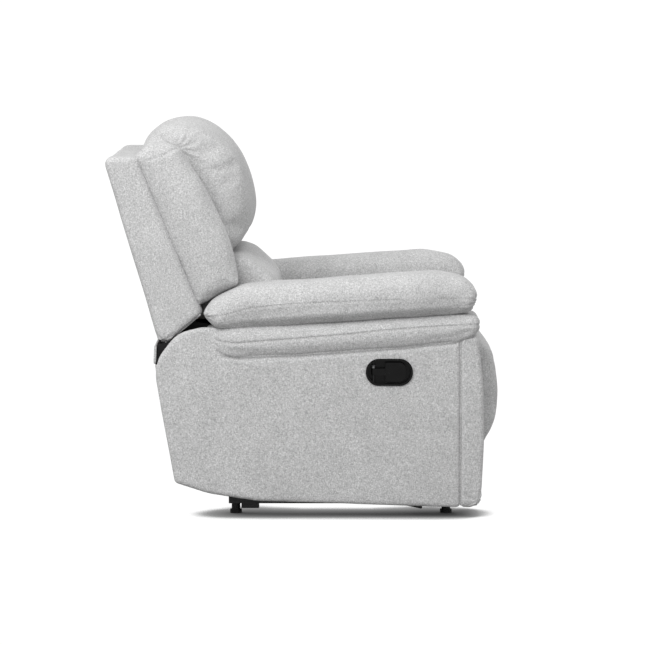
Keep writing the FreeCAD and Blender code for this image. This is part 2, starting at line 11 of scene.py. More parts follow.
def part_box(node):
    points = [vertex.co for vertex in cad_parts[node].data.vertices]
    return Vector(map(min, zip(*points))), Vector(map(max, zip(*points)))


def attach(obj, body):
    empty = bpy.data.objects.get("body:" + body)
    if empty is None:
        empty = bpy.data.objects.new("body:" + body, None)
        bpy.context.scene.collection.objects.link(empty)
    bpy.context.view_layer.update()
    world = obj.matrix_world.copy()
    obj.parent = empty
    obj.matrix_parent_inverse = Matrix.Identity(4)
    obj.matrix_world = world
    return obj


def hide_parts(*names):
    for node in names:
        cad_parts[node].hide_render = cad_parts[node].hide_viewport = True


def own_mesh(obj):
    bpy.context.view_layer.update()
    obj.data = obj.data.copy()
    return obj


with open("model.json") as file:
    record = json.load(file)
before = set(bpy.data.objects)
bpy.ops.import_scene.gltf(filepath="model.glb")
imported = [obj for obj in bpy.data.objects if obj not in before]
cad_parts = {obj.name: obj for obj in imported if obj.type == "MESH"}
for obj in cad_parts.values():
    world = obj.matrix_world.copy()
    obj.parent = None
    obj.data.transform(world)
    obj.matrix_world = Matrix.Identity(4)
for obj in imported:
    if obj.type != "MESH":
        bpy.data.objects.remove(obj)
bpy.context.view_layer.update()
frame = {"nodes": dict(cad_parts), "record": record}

MM = 0.001
NODES = frame["nodes"]


# ---- Materials -----------------------------------------------------------------------------------
def srgb(value):
    value = value / 255.0
    return value / 12.92 if value <= 0.04045 else ((value + 0.055) / 1.055) ** 2.4


def colour_of(r, g, b):
    return (srgb(r), srgb(g), srgb(b), 1.0)


def grey(value):
    return colour_of(value, value, value)


class Nodes:
    """A short way to make and join the nodes of one material."""

    def __init__(self, name):
        self.material = bpy.data.materials.new(name)
        self.material.use_nodes = True
        self.tree = self.material.node_tree
        self.shader = self.tree.nodes["Principled BSDF"]
        self.coords = self.tree.nodes.new("ShaderNodeTexCoord").outputs["Object"]

    def link(self, a, b):
        self.tree.links.new(a, b)

    def mapped(self, scale=(1, 1, 1)):
        node = self.tree.nodes.new("ShaderNodeMapping")
        node.inputs["Scale"].default_value = scale
        self.link(self.coords, node.inputs["Vector"])
        return node.outputs["Vector"]

    def noise(self, vector, scale, detail=2.0, roughness=0.5):
        node = self.tree.nodes.new("ShaderNodeTexNoise")
        node.inputs["Scale"].default_value = scale
        node.inputs["Detail"].default_value = detail
        node.inputs["Roughness"].default_value = roughness
        self.link(vector, node.inputs["Vector"])
        return node.outputs["Fac"]

    def wave(self, vector, scale, distortion=0.0, detail=1.0, direction="X"):
        node = self.tree.nodes.new("ShaderNodeTexWave")
        node.bands_direction = direction
        node.inputs["Scale"].default_value = scale
        node.inputs["Distortion"].default_value = distortion
        node.inputs["Detail"].default_value = detail
        self.link(vector, node.inputs["Vector"])
        return node.outputs["Fac"]

    def ramp(self, factor, stops):
        node = self.tree.nodes.new("ShaderNodeValToRGB")
        while len(node.color_ramp.elements) < len(stops):
            node.color_ramp.elements.new(0.5)
        for element, (place, colour) in zip(node.color_ramp.elements, stops):
            element.position = place
            element.color = colour
        self.link(factor, node.inputs["Fac"])
        return node.outputs["Color"]

    def maths(self, kind, a, b):
        node = self.tree.nodes.new("ShaderNodeMath")
        node.operation = kind
        for socket, value in zip(node.inputs, (a, b)):
            if isinstance(value, (int, float)):
                socket.default_value = value
            else:
                self.link(value, socket)
        return node.outputs["Value"]

    def mix(self, kind, factor, a, b):
        node = self.tree.nodes.new("ShaderNodeMix")
        node.data_type = "RGBA"
        node.blend_type = kind
        sockets = [s for s in node.inputs if s.enabled]
        for socket, value in zip(sockets, (factor, a, b)):
            if isinstance(value, (int, float, tuple)):
                socket.default_value = value
            else:
                self.link(value, socket)
        return next(s for s in node.outputs if s.enabled)

    def bump(self, height, strength, distance):
        node = self.tree.nodes.new("ShaderNodeBump")
        node.inputs["Strength"].default_value = strength
        node.inputs["Distance"].default_value = distance
        self.link(height, node.inputs["Height"])
        return node.outputs["Normal"]

    def finish(self, colour, normal=None, roughness=0.5, metallic=0.0, **extra):
        if isinstance(colour, tuple):
            self.shader.inputs["Base Color"].default_value = colour
        else:
            self.link(colour, self.shader.inputs["Base Color"])
        if normal is not None:
            self.link(normal, self.shader.inputs["Normal"])
        if isinstance(roughness, float):
            self.shader.inputs["Roughness"].default_value = roughness
        else:
            self.link(roughness, self.shader.inputs["Roughness"])
        self.shader.inputs["Metallic"].default_value = metallic
        for key, value in extra.items():
            self.shader.inputs[key.replace("_", " ")].default_value = value
        return self.material


def woven_fabric(name, dark, middle, light, sheen):
    """Heathered chenille: short light and dark slubs along warp and weft over a fine basket weave."""
    n = Nodes(name)
    across = n.noise(n.mapped((170, 170, 430)), 1.0, 2.0, 0.6)
    upward = n.noise(n.mapped((430, 430, 170)), 1.0, 2.0, 0.6)
    soft = n.noise(n.mapped(), 330.0, 2.0, 0.6)
    slubs = n.maths("ADD", n.maths("MULTIPLY", across, 0.5), n.maths("MULTIPLY", upward, 0.5))
    flecks = n.maths("ADD", n.maths("MULTIPLY", slubs, 0.6), n.maths("MULTIPLY", soft, 0.4))
    colour = n.ramp(flecks, [(0.41, dark), (0.49, middle), (0.52, middle), (0.6, light)])
    patches = n.ramp(n.noise(n.mapped(), 14.0, 3.0, 0.6),
                     [(0.3, grey(243)), (0.7, grey(255))])
    colour = n.mix("MULTIPLY", 1.0, colour, patches)
    threads = n.maths("MULTIPLY", n.wave(n.mapped(), 150.0, 1.2, 1.0, "Y"),
                      n.wave(n.mapped(), 150.0, 1.2, 1.0, "Z"))
    height = n.maths("ADD", n.maths("MULTIPLY", flecks, 2.0), n.maths("MULTIPLY", threads, 0.4))
    normal = n.bump(height, 0.6, 0.0012)
    return n.finish(colour, normal, 0.93, Sheen_Weight=sheen, Sheen_Roughness=0.45,
                    Specular_IOR_Level=0.2)


def plain_weave(name, colour, spread):
    """Thin dust cloth in a plain weave."""
    n = Nodes(name)
    cloth = n.maths("MULTIPLY", n.wave(n.mapped(), 330.0, 0.6, 1.0, "X"),
                    n.wave(n.mapped(), 330.0, 0.6, 1.0, "Z"))
    mottled = n.ramp(n.noise(n.mapped(), 60.0, 3.0, 0.6),
                     [(0.3, grey(colour - spread)), (0.7, grey(colour + spread))])
    return n.finish(mottled, n.bump(cloth, 0.4, 0.0006), 0.95)


def plywood(name):
    """Rotary-cut board: long wandering grain, darker pores and thin plies."""
    n = Nodes(name)
    grain = n.noise(n.mapped((60, 6, 60)), 1.0, 6.0, 0.6)
    rings = n.wave(n.mapped((4, 0.8, 4)), 9.0, 7.0, 3.0, "X")
    colour = n.ramp(n.maths("ADD", n.maths("MULTIPLY", grain, 0.6), n.maths("MULTIPLY", rings, 0.4)),
                    [(0.25, colour_of(150, 112, 70)), (0.5, colour_of(196, 158, 108)),
                     (0.78, colour_of(222, 190, 142))])
    pores = n.noise(n.mapped((900, 40, 900)), 1.0, 2.0, 0.6)
    normal = n.bump(n.maths("ADD", grain, n.maths("MULTIPLY", pores, 0.4)), 0.35, 0.0006)
    rough = n.maths("ADD", n.maths("MULTIPLY", pores, 0.25), 0.55)
    return n.finish(colour, normal, rough)


def painted_steel(name):
    """Black powder coat: fine orange peel, with faint dust in its patches."""
    n = Nodes(name)
    peel = n.noise(n.mapped(), 900.0, 2.0, 0.5)
    dust = n.noise(n.mapped(), 22.0, 4.0, 0.65)
    colour = n.ramp(dust, [(0.35, grey(20)), (0.75, colour_of(34, 34, 35))])
    rough = n.maths("ADD", n.maths("MULTIPLY", dust, 0.25), 0.3)
    return n.finish(colour, n.bump(peel, 0.25, 0.0003), rough, 0.1)


def zinc_steel(name):
    """Zinc-plated steel, brushed along X and faintly stained."""
    n = Nodes(name)
    brushed = n.noise(n.mapped((900, 40, 40)), 1.0, 3.0, 0.6)
    stain = n.noise(n.mapped(), 90.0, 3.0, 0.6)
    colour = n.ramp(stain, [(0.3, colour_of(150, 150, 148)), (0.7, colour_of(196, 197, 199))])
    rough = n.maths("ADD", n.maths("MULTIPLY", brushed, 0.3), 0.22)
    return n.finish(colour, n.bump(brushed, 0.15, 0.0002), rough, 1.0)


def moulded(name, low, high, roughness, grain, coat=0.0):
    """Moulded plastic with a fine spark-eroded grain and slight unevenness in its gloss."""
    n = Nodes(name)
    fine = n.noise(n.mapped(), grain, 2.0, 0.5)
    broad = n.noise(n.mapped(), 40.0, 3.0, 0.6)
    colour = n.ramp(broad, [(0.3, grey(low)), (0.7, grey(high))])
    rough = n.maths("ADD", n.maths("MULTIPLY", broad, 0.12), roughness)
    return n.finish(colour, n.bump(fine, 0.12, 0.00025), rough, 0.0, Coat_Weight=coat,
                    Coat_Roughness=0.08, Specular_IOR_Level=0.3)


def thread(name, value):
    """Twisted sewing thread."""
    n = Nodes(name)
    twist = n.wave(n.mapped(), 900.0, 0.5, 1.0, "DIAGONAL")
    colour = n.ramp(twist, [(0.2, grey(value - 22)), (0.8, grey(value + 10))])
    return n.finish(colour, n.bump(twist, 0.5, 0.0003), 0.85)


FABRIC = woven_fabric("grey_fabric_weave", grey(160), grey(187), grey(212), 0.1)
BLACK_CLOTH = plain_weave("black_dust_cover", 14, 5)
WOOD = plywood("plywood_board")
BLACK_STEEL = painted_steel("black_powder_coat")
ZINC = zinc_steel("zinc_plated_steel")
GLOSS = moulded("gloss_black_plastic", 1, 3, 0.2, 1600.0, 0.05)
MATT = moulded("matt_black_plastic", 3, 6, 0.36, 1200.0)
NYLON = moulded("white_nylon", 205, 222, 0.4, 1200.0)
CABLE = moulded("cable_cover", 12, 18, 0.35, 900.0)
THREAD = thread("seam_thread", 150)

SLOT_FINISH = {"grey_fabric": FABRIC, "black_fabric": BLACK_CLOTH, "wood_board": WOOD,
               "black_steel": BLACK_STEEL, "bare_steel": ZINC, "black_plastic": MATT,
               "black_gloss": GLOSS, "cable_cover": CABLE, "nylon": NYLON}
for part in frame["record"]["subparts"]:
    body = NODES[part["node"]]
    body.data.materials.clear()
    body.data.materials.append(SLOT_FINISH[part["material_slot"]])
    for polygon in body.data.polygons:
        polygon.material_index = 0
# The handle's hinge pin is blackened, unlike the mechanism's bright rivets
NODES["handle_pin"].data.materials[0] = BLACK_STEEL


# ---- Outlines and meshes ---------------------------------------------------------------------------
ARC_POINTS = 14               # points on each rounded corner
LEAST_LEFT = 0.14             # share of its distance to the spine that a rounded edge always leaves
DROP_FROM = 0.25              # how far outside a mesh a path starts when it is dropped onto it
STITCH_LENGTH, STITCH_GAP, STITCH_RADIUS = 4.5 * MM, 2.5 * MM, 0.55 * MM


def outline(corners, step):
    """Evenly spaced (forward, up) points, in millimetres, around a closed outline of rounded corners."""
    points = []
    count = len(corners)
    for i, (forward, up, radius) in enumerate(corners):
        here = np.array((forward, up), float)
        back = np.array(corners[i - 1][:2], float) - here
        ahead = np.array(corners[(i + 1) % count][:2], float) - here
        long_back, long_ahead = np.linalg.norm(back), np.linalg.norm(ahead)
        back, ahead = back / long_back, ahead / long_ahead
        half = (math.pi - math.acos(max(-1, min(1, float(back @ ahead))))) / 2
        setback = min(radius * math.tan(half), 0.49 * min(long_back, long_ahead))
        if half < 1e-4 or setback < 0.01:
            points.append(here)
            continue
        radius = setback / math.tan(half)
        inward = back + ahead
        inward /= np.linalg.norm(inward)
        centre = here + inward * radius / math.cos(half)
        start, end = here + back * setback - centre, here + ahead * setback - centre
        angle = 2 * half
        for t in np.linspace(0, 1, ARC_POINTS):
            mixed = (math.sin((1 - t) * angle) * start + math.sin(t * angle) * end) / math.sin(angle)
            points.append(centre + mixed)
    points = np.array(points)
    ring = np.vstack([points, points[:1]])
    spans = np.linalg.norm(np.diff(ring, axis=0), axis=1)
    along = np.concatenate([[0], np.cumsum(spans)])
    places = np.linspace(0, along[-1], int(along[-1] / step) + 1)[:-1]
    return np.stack([np.interp(places, along, ring[:, 0]), np.interp(places, along, ring[:, 1])], 1)


def nearest_on(spine, points):
    """The nearest point of a spine, a polyline of (forward, up) points, to each of points."""
    best = np.full(len(points), 1e9)
    found = np.zeros_like(points)
    for a, b in zip(spine[:-1], spine[1:]):
        a, b = np.array(a, float), np.array(b, float)
        t = np.clip(((points - a) @ (b - a)) / ((b - a) @ (b - a)), 0, 1)
        q = a + t[:, None] * (b - a)
        d = np.linalg.norm(points - q, axis=1)
        nearer = d < best
        best[nearer] = d[nearer]
        found[nearer] = q[nearer]
    return found


def new_object(name, mesh, material):
    obj = bpy.data.objects.new(name, mesh)
    bpy.context.scene.collection.objects.link(obj)
    mesh.materials.clear()
    mesh.materials.append(material)
    return obj


def block(name, corners, x_low, x_high, spine, low_edge, high_edge, material, step=7.0, shrink=0.0,
          sag=0.0, soft=None):
    """A closed solid of an outline, in millimetres, whose two side edges round off towards a spine.
    An edge is (reach across the chair, reach in the outline), sag is how much smaller the outline
    is at its two sides than in its middle, and soft(forward, up) scales both, from 0 to 1."""
    ring = outline(corners, step)
    away = ring - nearest_on(spine, ring)
    span = np.linalg.norm(away, axis=1)
    away = away / span[:, None]
    weight = np.ones(len(ring)) if soft is None else soft(ring[:, 0], ring[:, 1])
    low_part, high_part = [], []
    for part, (reach, depth), end, sign in ((low_part, low_edge, x_low, 1),
                                            (high_part, high_edge, x_high, -1)):
        for t in np.linspace(0.0, 1.0, max(3, int(reach / step * 1.6) + 2)):
            part.append((end + sign * reach * (1 - math.cos(t * math.pi / 2)),
                         depth * (1 - math.sin(t * math.pi / 2))))
    high_part.reverse()
    first, last = low_part[-1][0], high_part[0][0]
    between = np.linspace(first, last, max(int((last - first) / (step * 1.5)), 1) + 2)[1:-1]
    middle, half = (x_low + x_high) / 2, (x_high - x_low) / 2
    bm = bmesh.new()
    rows = []
    for x, inset in low_part + [(x, 0.0) for x in between] + high_part:
        sagged = sag * ((x - middle) / half) ** 2
        inward = np.minimum((inset + sagged) * weight + shrink, (1 - LEAST_LEFT) * span)
        place = ring - away * inward[:, None]
        rows.append([bm.verts.new((x * MM, -f * MM, u * MM)) for f, u in place])
    for a, b in zip(rows[:-1], rows[1:]):
        for i in range(len(a)):
            bm.faces.new((a[i - 1], a[i], b[i], b[i - 1]))
    bm.faces.new(rows[0])
    bm.faces.new(rows[-1][::-1])
    bmesh.ops.triangulate(bm, faces=[f for f in bm.faces if len(f.verts) > 4])
    bmesh.ops.recalc_face_normals(bm, faces=bm.faces)
    mesh = bpy.data.meshes.new(name)
    bm.to_mesh(mesh)
    bm.free()
    return new_object(name, mesh, material)


def coords(obj):
    co = np.empty(len(obj.data.vertices) * 3, np.float32)
    obj.data.vertices.foreach_get("co", co)
    return co.reshape(-1, 3).astype(float)


def set_coords(obj, co):
    obj.data.vertices.foreach_set("co", co.astype(np.float32).ravel())
    obj.data.update()


def normals(obj):
    no = np.empty(len(obj.data.vertices) * 3, np.float32)
    obj.data.vertices.foreach_get("normal", no)
    return no.reshape(-1, 3).astype(float)


def apply_modifiers(obj):
    bpy.context.view_layer.update()
    graph = bpy.context.evaluated_depsgraph_get()
    mesh = bpy.data.meshes.new_from_object(obj.evaluated_get(graph))
    old = obj.data
    name = old.name
    obj.modifiers.clear()
    obj.data = mesh
    bpy.data.meshes.remove(old)
    mesh.name = name
    return obj


def remesh(obj, size, smooth=6):
    mod = obj.modifiers.new("Remesh", "REMESH")
    mod.mode = "VOXEL"
    mod.voxel_size = size * MM
    apply_modifiers(obj)
    if smooth:
        mod = obj.modifiers.new("Smooth", "SMOOTH")
        mod.factor = 0.5
        mod.iterations = smooth
        apply_modifiers(obj)
    return obj


def smooth_shade(obj, levels=1):
    if levels:
        mod = obj.modifiers.new("Subdivision", "SUBSURF")
        mod.levels = levels
        mod.render_levels = levels
        apply_modifiers(obj)
    obj.data.polygons.foreach_set("use_smooth", [True] * len(obj.data.polygons))
    return obj


def uneven(obj, size, amount, seed):
    """Slow unevenness along the normals, size in metres and amount in millimetres."""
    co, no = coords(obj), normals(obj)
    shift = Vector((seed * 3.1, seed * 1.7, seed * 2.3))
    push = np.array([noise.noise(Vector(c) / size + shift) for c in co])
    set_coords(obj, co + no * (push * amount * MM)[:, None])


def groove(obj, path, width, depth, x_from=None):
    """Presses a (forward, up) path into the mesh, in millimetres, outwards of x_from if it is given."""
    co, no = coords(obj), normals(obj)
    flat = np.stack([-co[:, 1], co[:, 2]], 1) / MM
    d = np.linalg.norm(flat - nearest_on(path, flat), axis=1)
    push = np.exp(-(d / width) ** 2)
    if x_from is not None:
        push *= 1 / (1 + np.exp(-(co[:, 0] / MM - x_from) / 3.0))
    set_coords(obj, co - no * (push * depth * MM)[:, None])


def crown(obj, corners, amount, reach):
    """Swells the side face that looks along +X in a dome that starts from the outline's edge."""
    co = coords(obj)
    flat = np.stack([-co[:, 1], co[:, 2]], 1) / MM
    ring = outline(corners, 8.0)
    d = np.linalg.norm(flat - nearest_on(np.vstack([ring, ring[:1]]), flat), axis=1)
    rise = np.sin(np.clip(d / reach, 0, 1) * math.pi / 2)
    x = co[:, 0]
    outer = np.clip((x - x.min()) / (x.max() - x.min()) * 2 - 1, 0, 1)
    co[:, 0] += rise * outer * amount * MM
    set_coords(obj, co)


def gathers(obj, centre, reach, count, depth):
    """Small folds that fan out from a gathered point, (x, forward, up) in millimetres."""
    co, no = coords(obj), normals(obj)
    rel = co / MM - np.array((centre[0], -centre[1], centre[2]))
    away = np.linalg.norm(rel, axis=1)
    angle = np.arctan2(rel[:, 2], -rel[:, 1])
    wobble = np.array([noise.noise(Vector(c) * 40.0) for c in co])
    folds = np.sin(angle * count + wobble * 2.5)
    push = folds * np.clip(away / (0.25 * reach), 0, 1) * np.exp(-(away / reach) ** 2)
    set_coords(obj, co + no * (push * depth * MM)[:, None])


def mirror_of(obj, name):
    """The mirror image of a piece, for the other side of the chair."""
    mesh = obj.data.copy()
    mesh.name = name
    twin = bpy.data.objects.new(name, mesh)
    bpy.context.scene.collection.objects.link(twin)
    co = coords(twin)
    co[:, 0] *= -1
    set_coords(twin, co)
    mesh.flip_normals()
    return twin


def tube_mesh(name, points, radius, material):
    """A mesh tube along a list of points, in metres, closed at both ends."""
    curve = bpy.data.curves.new(name, "CURVE")
    curve.dimensions = "3D"
    curve.bevel_depth = radius
    curve.bevel_resolution = 1
    curve.use_fill_caps = True
    spline = curve.splines.new("POLY")
    spline.points.add(len(points) - 1)
    for place, target in zip(points, spline.points):
        target.co = (*place, 1.0)
    holder = bpy.data.objects.new(name + "_path", curve)
    bpy.context.scene.collection.objects.link(holder)
    bpy.context.view_layer.update()
    graph = bpy.context.evaluated_depsgraph_get()
    mesh = bpy.data.meshes.new_from_object(holder.evaluated_get(graph))
    bpy.data.objects.remove(holder)
    bpy.data.curves.remove(curve)
    mesh.name = name
    obj = new_object(name, mesh, material)
    obj.data.polygons.foreach_set("use_smooth", [True] * len(obj.data.polygons))
    return obj


def resample(points, step):
    """Evenly spaced points along a polyline."""
    points = np.array(points, float)
    spans = np.linalg.norm(np.diff(points, axis=0), axis=1)
    along = np.concatenate([[0], np.cumsum(spans)])
    places = np.linspace(0, along[-1], max(2, int(along[-1] / step) + 1))
    return np.stack([np.interp(places, along, points[:, k]) for k in range(3)], 1)


def on_surface(obj, points, direction, lift):
    """Points of a path in metres, dropped onto a mesh along a direction and lifted off it a little."""
    tree = BVHTree.FromPolygons([v.co for v in obj.data.vertices],
                                [tuple(p.vertices) for p in obj.data.polygons])
    found = []
    way = Vector(direction).normalized()
    for p in points:
        start = Vector(p) - way * DROP_FROM
        hit, normal, _, _ = tree.ray_cast(start, way, 2.4 * DROP_FROM)
        if hit is None:
            hit, normal, _, _ = tree.find_nearest(Vector(p))
        if normal.dot(way) > 0:
            normal = -normal
        found.append(hit + normal * lift)
    return found


def stitch(bm, start, end, direction):
    """One short thread from start to end: four rings of four points, thinner at the ends."""
    along = end - start
    side = along.cross(Vector(direction)).normalized() * STITCH_RADIUS
    up = side.cross(along).normalized() * STITCH_RADIUS
    rings = []
    for place, scale in ((start, 0.4), (start + along * 0.3, 1.0), (start + along * 0.7, 1.0), (end, 0.4)):
        rings.append([bm.verts.new(place + (side * math.cos(t) + up * math.sin(t)) * scale)
                      for t in (0, math.pi / 2, math.pi, 3 * math.pi / 2)])
    for r, s in zip(rings[:-1], rings[1:]):
        for k in range(4):
            bm.faces.new((r[k - 1], r[k], s[k], s[k - 1]))
    bm.faces.new(rings[0][::-1])
    bm.faces.new(rings[-1])


def stitches(name, obj, path, direction):
    """Short thread stitches along a path in metres, lying on the mesh."""
    line = [Vector(p) for p in on_surface(obj, resample(path, 0.0012), direction, 0.0001)]
    bm = bmesh.new()
    travelled = 0.0
    start = None
    for a, b in zip(line[:-1], line[1:]):
        inside = (travelled % (STITCH_LENGTH + STITCH_GAP)) < STITCH_LENGTH
        if inside and start is None:
            start = a
        if not inside and start is not None:
            if (a - start).length > 0.001:
                stitch(bm, start, a, direction)
            start = None
        travelled += (b - a).length
    bmesh.ops.recalc_face_normals(bm, faces=bm.faces)
    mesh = bpy.data.meshes.new(name)
    bm.to_mesh(mesh)
    bm.free()
    piece = new_object(name, mesh, THREAD)
    piece.data.polygons.foreach_set("use_smooth", [True] * len(piece.data.polygons))
    return piece


# ---- Cloth ---------------------------------------------------------------------------------------
SIM_FRAMES = 18
CLOTH_STIFFNESS = 12.0
waiting = []


def to_inflate(obj, pressure, cap, held):
    """Lists a piece for the one cloth run. cap is the furthest that a point may move, in millimetres,
    and held a function of (forward, up) arrays that gives how firmly each point is held."""
    waiting.append((obj, pressure, cap, held))


def run_cloth():
    """Inflates all listed pieces at once, and keeps their shapes without the modifier."""
    scene = bpy.context.scene
    before = {}
    for obj, pressure, _, held in waiting:
        co = coords(obj)
        before[obj.name] = co
        mod = obj.modifiers.new("Cloth", "CLOTH")
        s = mod.settings
        s.quality = 4
        s.mass = 0.3
        s.tension_stiffness = CLOTH_STIFFNESS
        s.compression_stiffness = CLOTH_STIFFNESS
        s.shear_stiffness = 5.0
        s.bending_stiffness = 0.5
        s.use_pressure = True
        s.uniform_pressure_force = pressure
        s.effector_weights.gravity = 0.0
        mod.collision_settings.use_collision = False
        mod.collision_settings.use_self_collision = False
        mod.point_cache.frame_start = 1
        mod.point_cache.frame_end = SIM_FRAMES
        hold = held(-co[:, 1] / MM, co[:, 2] / MM)
        group = obj.vertex_groups.new(name="held")
        for i in np.nonzero(hold > 0.01)[0]:
            group.add([int(i)], float(min(hold[i], 1.0)), "REPLACE")
        s.vertex_group_mass = "held"
    for f in range(1, SIM_FRAMES + 1):
        scene.frame_set(f)
    graph = bpy.context.evaluated_depsgraph_get()
    after = {}
    for obj, *_ in waiting:
        mesh = obj.evaluated_get(graph).data
        co = np.empty(len(mesh.vertices) * 3, np.float32)
        mesh.vertices.foreach_get("co", co)
        after[obj.name] = co.reshape(-1, 3).astype(float)
    for obj, _, cap, _ in waiting:
        move = after[obj.name] - before[obj.name]
        size = np.linalg.norm(move, axis=1)
        limit = cap * MM
        scale = np.where(size > 1e-9, limit * np.tanh(size / limit) / np.maximum(size, 1e-9), 1.0)
        obj.modifiers.clear()
        obj.vertex_groups.clear()
        set_coords(obj, before[obj.name] + move * scale[:, None])
    scene.frame_set(1)


def keep_within(obj, x_low, x_high, soft=4.0):
    """Eases a piece back inside two side planes, in millimetres."""
    co = coords(obj)
    x = co[:, 0] / MM
    over = np.maximum(x - (x_high - soft), 0)
    under = np.maximum((x_low + soft) - x, 0)
    x = x - over + soft * np.tanh(over / soft)
    x = x + under - soft * np.tanh(under / soft)
    co[:, 0] = x * MM
    set_coords(obj, co)


def near(path, width, firmness=1.3):
    """A hold function: points whose side view lies near a (forward, up) path are held."""
    def hold(forward, up):
        flat = np.stack([forward, up], 1)
        d = np.linalg.norm(flat - nearest_on(path, flat), axis=1)
        return np.clip(firmness * (1 - d / (1.3 * width)), 0, 1)
    return hold


# ---- Upholstery: outlines ---------------------------------------------------------------------------
# Outlines are (forward, up, corner radius) in millimetres and follow the CAD solids closely. Spines,
# seams and other paths are (forward, up). A reach across the chair is from its middle plane, and a
# piece with two reaches is the left one of a pair.
VOXEL = 5.5                   # remesh size of most pieces
PILLOW_VOXEL = 6.5            # and of the large ones

UPPER_PAD_X = (287, 468)
UPPER_PAD = [(-259, 515, 6), (-238, 546, 26), (-158, 583, 90), (60, 597, 500), (330, 617, 150),
             (410, 608, 60), (449, 568, 34), (428, 517, 14), (246, 506, 300), (-8, 489, 300),
             (-222, 472, 26)]
UPPER_SPINE = [(-214, 520), (60, 546), (330, 565), (392, 562)]
UPPER_SEAM = [(-250, 509), (-198, 513), (-141, 529), (-88, 536), (-25, 541), (106, 546.5), (250, 552),
              (447, 556)]
LOWER_PAD_X = (287, 461)
LOWER_PAD = [(-256, 474, 8), (-234, 436, 24), (-206, 406, 20), (-164, 401, 60), (-6, 408, 400),
             (244, 426, 400), (386, 441, 120), (434, 455, 22), (447, 488, 16), (440, 513, 8),
             (246, 503, 300), (-8, 486, 300), (-226, 478, 20)]
LOWER_SPINE = [(-205, 447), (-8, 449), (244, 466), (405, 482)]
LOWER_SEAM = [(-250, 474), (-233, 460), (-217, 448), (-200, 444), (-164, 442), (-94, 448), (-25, 453),
              (44, 459), (106, 464), (196, 474), (298, 482), (405, 488), (447, 488)]
PAD_FOOT = [(-214, 421), (-204, 407), (-164, 401), (-6, 407), (244, 425), (384, 440)]
SIDE_X = (412, 450)
SIDE = [(-324, 88, 6), (-240, 61, 200), (-110, 41, 300), (60, 35, 300), (395.5, 25, 3),
        (395.5, 455, 3), (244, 442, 400), (-6, 425, 400), (-176, 418, 24), (-196, 446, 14),
        (-214, 481, 10), (-256, 481, 24), (-318, 466, 80), (-367, 402, 80), (-372, 358, 80),
        (-358, 274, 300)]
SIDE_SPINE = [(-300, 400), (-200, 250), (300, 250)]
ARM_FRONT_X = (286, 450)
ARM_FRONT = [(396.5, 25, 2), (449, 25, 34), (456, 190, 300), (454, 330, 300), (440, 462, 10),
             (396.5, 455, 2)]
INNER_X = (286, 302)
INNER = [(-236, 330, 5), (395.5, 330, 3), (395.5, 450, 3), (244, 434, 400), (-6, 417, 400),
         (-178, 409, 10), (-236, 402, 5)]
ARM_LINING_X = (299.3, 301.6)
ARM_LINING = [(-200, 75, 4), (395, 62, 4), (395, 332, 1), (-200, 332, 1)]

SLAB_X = (285, 395)
SLAB = [(-368, 441, 8), (-338, 441, 10), (-254, 512, 8), (-417, 907, 12), (-507, 907, 18)]
SLAB_SPINE = [(-318, 490), (-458, 880)]
BOLSTER_X = (288, 377)
BOLSTER = [(-268, 529, 4), (-238, 544, 20), (-160, 584, 8), (-177, 658, 100), (-190, 700, 300),
           (-219, 764, 300), (-262, 848, 300), (-288, 888, 100), (-316, 930, 24), (-345, 942, 30),
           (-388, 942, 30), (-429, 908, 8)]
BOLSTER_SPINE = [(-222, 580), (-250, 700), (-320, 850), (-366, 912)]
BOLSTER_TOP_SEAM = [(-397, 897), (-372, 904), (-343, 916), (-316, 930)]
HEAD_HALF = 282
HEAD = [(-361, 670, 12), (-190, 634, 40), (-150, 664, 60), (-131, 762, 220), (-141, 850, 220),
        (-176, 926, 120), (-244, 986, 120), (-318, 1000, 80), (-374, 998, 50), (-413, 935, 40),
        (-428, 896, 8)]
HEAD_SPINE = [(-345, 925), (-265, 840), (-225, 735)]
LUMBAR_HALF = 281
LUMBAR = [(-196, 487, 12), (-60, 487, 20), (-50, 550, 80), (-62, 588, 100), (-96, 621, 80),
          (-134, 656, 50), (-200, 643, 12), (-345, 652, 12), (-290, 490, 4)]
LUMBAR_SPINE = [(-290, 570), (-140, 572)]
BACK_PANEL_HALF = 284.5
BACK_PANEL = [(-368, 441, 10), (-337, 441, 2), (-471.5, 890, 2), (-410, 890, 3), (-408, 904, 8),
              (-507, 907, 18)]
BACK_PANEL_SPINE = [(-355, 455), (-485, 890), (-425, 897)]
COVER_HALF = 246
COVER = [(-298, 480, 0), (-333, 455.3, 0), (-333, 440, 0), (-350, 438, 3), (-352, 392, 15),
         (-318, 352, 15), (-250, 352, 15), (-226, 420, 12), (-234, 470, 12), (-262, 480, 10)]

SEAT_HALF = 282
SEAT = [(-166, 400, 12), (397, 400, 6), (397, 437, 6), (446, 437, 14), (460, 462, 24),
        (446, 491, 26), (300, 496, 300), (-120, 484, 200), (-166, 478, 24)]
SEAT_SPINE = [(-130, 441), (380, 452), (430, 463)]
SEAT_SEAM = [(-166, 462), (330, 470), (420, 455), (458, 452)]
SEAT_BAND_HALF = 256
SEAT_BAND = [(389.5, 338, 0.8), (392, 338, 0.8), (392, 399, 0.8), (389.5, 399, 0.8)]
FOOT_PAD_HALF = 279
FOOT_PAD = [(415.5, 163, 1), (402.5, 163, 1), (402.5, 151, 3), (462, 150, 30), (493, 210, 90),
            (499, 302, 160), (488, 395, 60), (468, 431, 16), (402.5, 431, 3), (402.5, 424, 1),
            (415.5, 424, 1)]
FOOT_SEAM = [(432, 150), (436, 290), (432, 432)]
FOOT_CLOTH_HALF = 263.2
FOOT_CLOTH = [(401.7, 163.8, 1), (416, 163.8, 1), (416, 423.2, 1), (401.7, 423.2, 1)]

